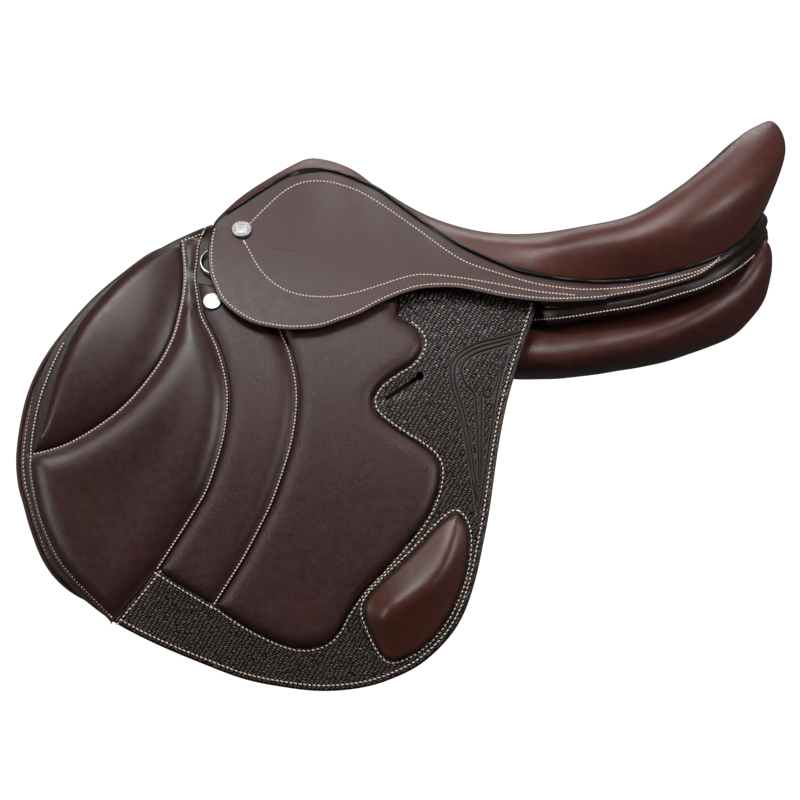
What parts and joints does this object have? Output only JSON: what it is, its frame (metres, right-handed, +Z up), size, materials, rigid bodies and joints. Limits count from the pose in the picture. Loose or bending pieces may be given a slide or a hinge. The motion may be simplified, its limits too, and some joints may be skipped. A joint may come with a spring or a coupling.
{
  "type": "english jumping saddle",
  "caption": "English jumping saddle with forward flaps, knee rolls, calf blocks, deep seat, liftable skirts and flaps, stirrup bars and girth straps.",
  "frame": {"origin": "on the centre plane, half way along the panels, at the level where they bear on the horse", "axes": "+Z up, -X towards the head of the horse, +Y towards the off (right) side when facing forward"},
  "size_m": [0.6129, 0.4032, 0.4489],
  "materials": {
    "seat_leather": "smooth, satin, warm red-brown",
    "panel_leather": "smooth, satin, warm red-brown",
    "skirt_leather": "smooth, soft satin, dark brown",
    "pad_leather": "smooth, soft satin, dark brown",
    "flap_leather": "smooth, satin, dark brown",
    "grained_trim": "embossed grain, low sheen, near black-brown",
    "block_leather": "smooth, glossy, reddish brown",
    "sweat_leather": "smooth, satin, brown",
    "strap_leather": "smooth, satin, dark brown",
    "black_piping": "smooth, satin, black",
    "chrome_trim": "polished",
    "bar_steel": "brushed",
    "tree_steel": "brushed, dull",
    "tree_wood": "laminated beech",
    "webbing": "woven, natural",
    "foam": "soft foam"
  },
  "bodies": {
    "root": {"tree_frame": "tree_wood", "head_plate": "tree_steel", "gullet_plate": "tree_steel", "seat_webbing": "webbing", "girth_web_front": "webbing", "girth_web_rear": "webbing", "seat_foam": "foam", "seat_cover": "seat_leather", "seat_piping": "black_piping", "panel_facing": "panel_leather", "left_spring_steel": "tree_steel", "left_tree_point": "tree_wood", "left_stirrup_bar": "bar_steel", "left_bar_rivets": "bar_steel", "left_panel": "panel_leather", "left_point_pocket": "panel_leather", "left_sweat_flap": "sweat_leather", "left_skirt_upper": "skirt_leather", "left_skirt_nail": "chrome_trim", "right_spring_steel": "tree_steel", "right_tree_point": "tree_wood", "right_stirrup_bar": "bar_steel", "right_bar_rivets": "bar_steel", "right_panel": "panel_leather", "right_point_pocket": "panel_leather", "right_sweat_flap": "sweat_leather", "right_skirt_upper": "skirt_leather", "right_skirt_nail": "chrome_trim"},
    "left_flap_body": {"left_flap": "flap_leather", "left_flap_trim": "grained_trim", "left_knee_roll": "pad_leather", "left_front_pad": "pad_leather", "left_mid_pad": "pad_leather", "left_main_pad": "pad_leather", "left_calf_block": "block_leather", "left_flap_nail": "chrome_trim", "left_dee_chape": "skirt_leather"},
    "left_skirt_body": {"left_skirt": "skirt_leather"},
    "left_dee_body": {"left_dee": "chrome_trim"},
    "left_catch_body": {"left_bar_catch": "bar_steel"},
    "left_billet_front_body": {"left_billet_front": "strap_leather"},
    "left_billet_mid_body": {"left_billet_mid": "strap_leather"},
    "left_billet_rear_body": {"left_billet_rear": "strap_leather"},
    "left_guard_body": {"left_buckle_guard": "strap_leather"},
    "right_flap_body": {"right_flap": "flap_leather", "right_flap_trim": "grained_trim", "right_knee_roll": "pad_leather", "right_front_pad": "pad_leather", "right_mid_pad": "pad_leather", "right_main_pad": "pad_leather", "right_calf_block": "block_leather", "right_flap_nail": "chrome_trim", "right_dee_chape": "skirt_leather"},
    "right_skirt_body": {"right_skirt": "skirt_leather"},
    "right_dee_body": {"right_dee": "chrome_trim"},
    "right_catch_body": {"right_bar_catch": "bar_steel"},
    "right_billet_front_body": {"right_billet_front": "strap_leather"},
    "right_billet_mid_body": {"right_billet_mid": "strap_leather"},
    "right_billet_rear_body": {"right_billet_rear": "strap_leather"},
    "right_guard_body": {"right_buckle_guard": "strap_leather"}
  },
  "joints": [
    {"name": "left_flap_lift", "type": "hinge", "parent": "root", "child": "left_flap_body", "pos_m": [-0.16, -0.098, 0.09914], "axis": [-0.9892, 0.0544, 0.136], "range_deg": [0, 80]},
    {"name": "left_skirt_lift", "type": "hinge", "parent": "left_flap_body", "child": "left_skirt_body", "pos_m": [-0.16, -0.098, 0.09914], "axis": [-0.9892, 0.0544, 0.136], "range_deg": [0, 45]},
    {"name": "left_dee_swing", "type": "hinge", "parent": "left_flap_body", "child": "left_dee_body", "pos_m": [-0.23, -0.09567, 0.092], "axis": [0, 0.5484, 0.8362], "range_deg": [0, 35]},
    {"name": "left_bar_catch_lift", "type": "hinge", "parent": "root", "child": "left_catch_body", "pos_m": [-0.13277, -0.09549, 0.07927], "axis": [-0.0549, -0.9985, 0], "range_deg": [0, 30]},
    {"name": "left_billet_front_sway", "type": "hinge", "parent": "root", "child": "left_billet_front_body", "pos_m": [-0.128, -0.096, 0.058], "axis": [0, 0.9677, -0.2521], "range_deg": [-4, 4]},
    {"name": "left_billet_mid_sway", "type": "hinge", "parent": "root", "child": "left_billet_mid_body", "pos_m": [-0.094, -0.096, 0.058], "axis": [0, 0.9677, -0.2521], "range_deg": [-4, 4]},
    {"name": "left_billet_rear_sway", "type": "hinge", "parent": "root", "child": "left_billet_rear_body", "pos_m": [-0.06, -0.096, 0.058], "axis": [0, 0.9677, -0.2521], "range_deg": [-4, 4]},
    {"name": "left_guard_slide", "type": "slide", "parent": "left_billet_front_body", "child": "left_guard_body", "axis": [0, -0.2521, -0.9677], "range_m": [0, 0.06]},
    {"name": "right_flap_lift", "type": "hinge", "parent": "root", "child": "right_flap_body", "pos_m": [-0.16, 0.098, 0.09914], "axis": [0.9892, 0.0544, -0.136], "range_deg": [0, 80]},
    {"name": "right_skirt_lift", "type": "hinge", "parent": "right_flap_body", "child": "right_skirt_body", "pos_m": [-0.16, 0.098, 0.09914], "axis": [0.9892, 0.0544, -0.136], "range_deg": [0, 45]},
    {"name": "right_dee_swing", "type": "hinge", "parent": "right_flap_body", "child": "right_dee_body", "pos_m": [-0.23, 0.09567, 0.092], "axis": [0, 0.5484, -0.8362], "range_deg": [0, 35]},
    {"name": "right_bar_catch_lift", "type": "hinge", "parent": "root", "child": "right_catch_body", "pos_m": [-0.13277, 0.09549, 0.07927], "axis": [0.0549, -0.9985, 0], "range_deg": [0, 30]},
    {"name": "right_billet_front_sway", "type": "hinge", "parent": "root", "child": "right_billet_front_body", "pos_m": [-0.128, 0.096, 0.058], "axis": [0, 0.9677, 0.2521], "range_deg": [-4, 4]},
    {"name": "right_billet_mid_sway", "type": "hinge", "parent": "root", "child": "right_billet_mid_body", "pos_m": [-0.094, 0.096, 0.058], "axis": [0, 0.9677, 0.2521], "range_deg": [-4, 4]},
    {"name": "right_billet_rear_sway", "type": "hinge", "parent": "root", "child": "right_billet_rear_body", "pos_m": [-0.06, 0.096, 0.058], "axis": [0, 0.9677, 0.2521], "range_deg": [-4, 4]},
    {"name": "right_guard_slide", "type": "slide", "parent": "right_billet_front_body", "child": "right_guard_body", "axis": [0, 0.2521, -0.9677], "range_m": [0, 0.06]}
  ],
  "couplings": [
    {"joint": "left_billet_mid_sway", "follows": "left_billet_front_sway", "ratio": 1},
    {"joint": "left_billet_rear_sway", "follows": "left_billet_front_sway", "ratio": 1},
    {"joint": "right_billet_mid_sway", "follows": "right_billet_front_sway", "ratio": 1},
    {"joint": "right_billet_rear_sway", "follows": "right_billet_front_sway", "ratio": 1}
  ]
}
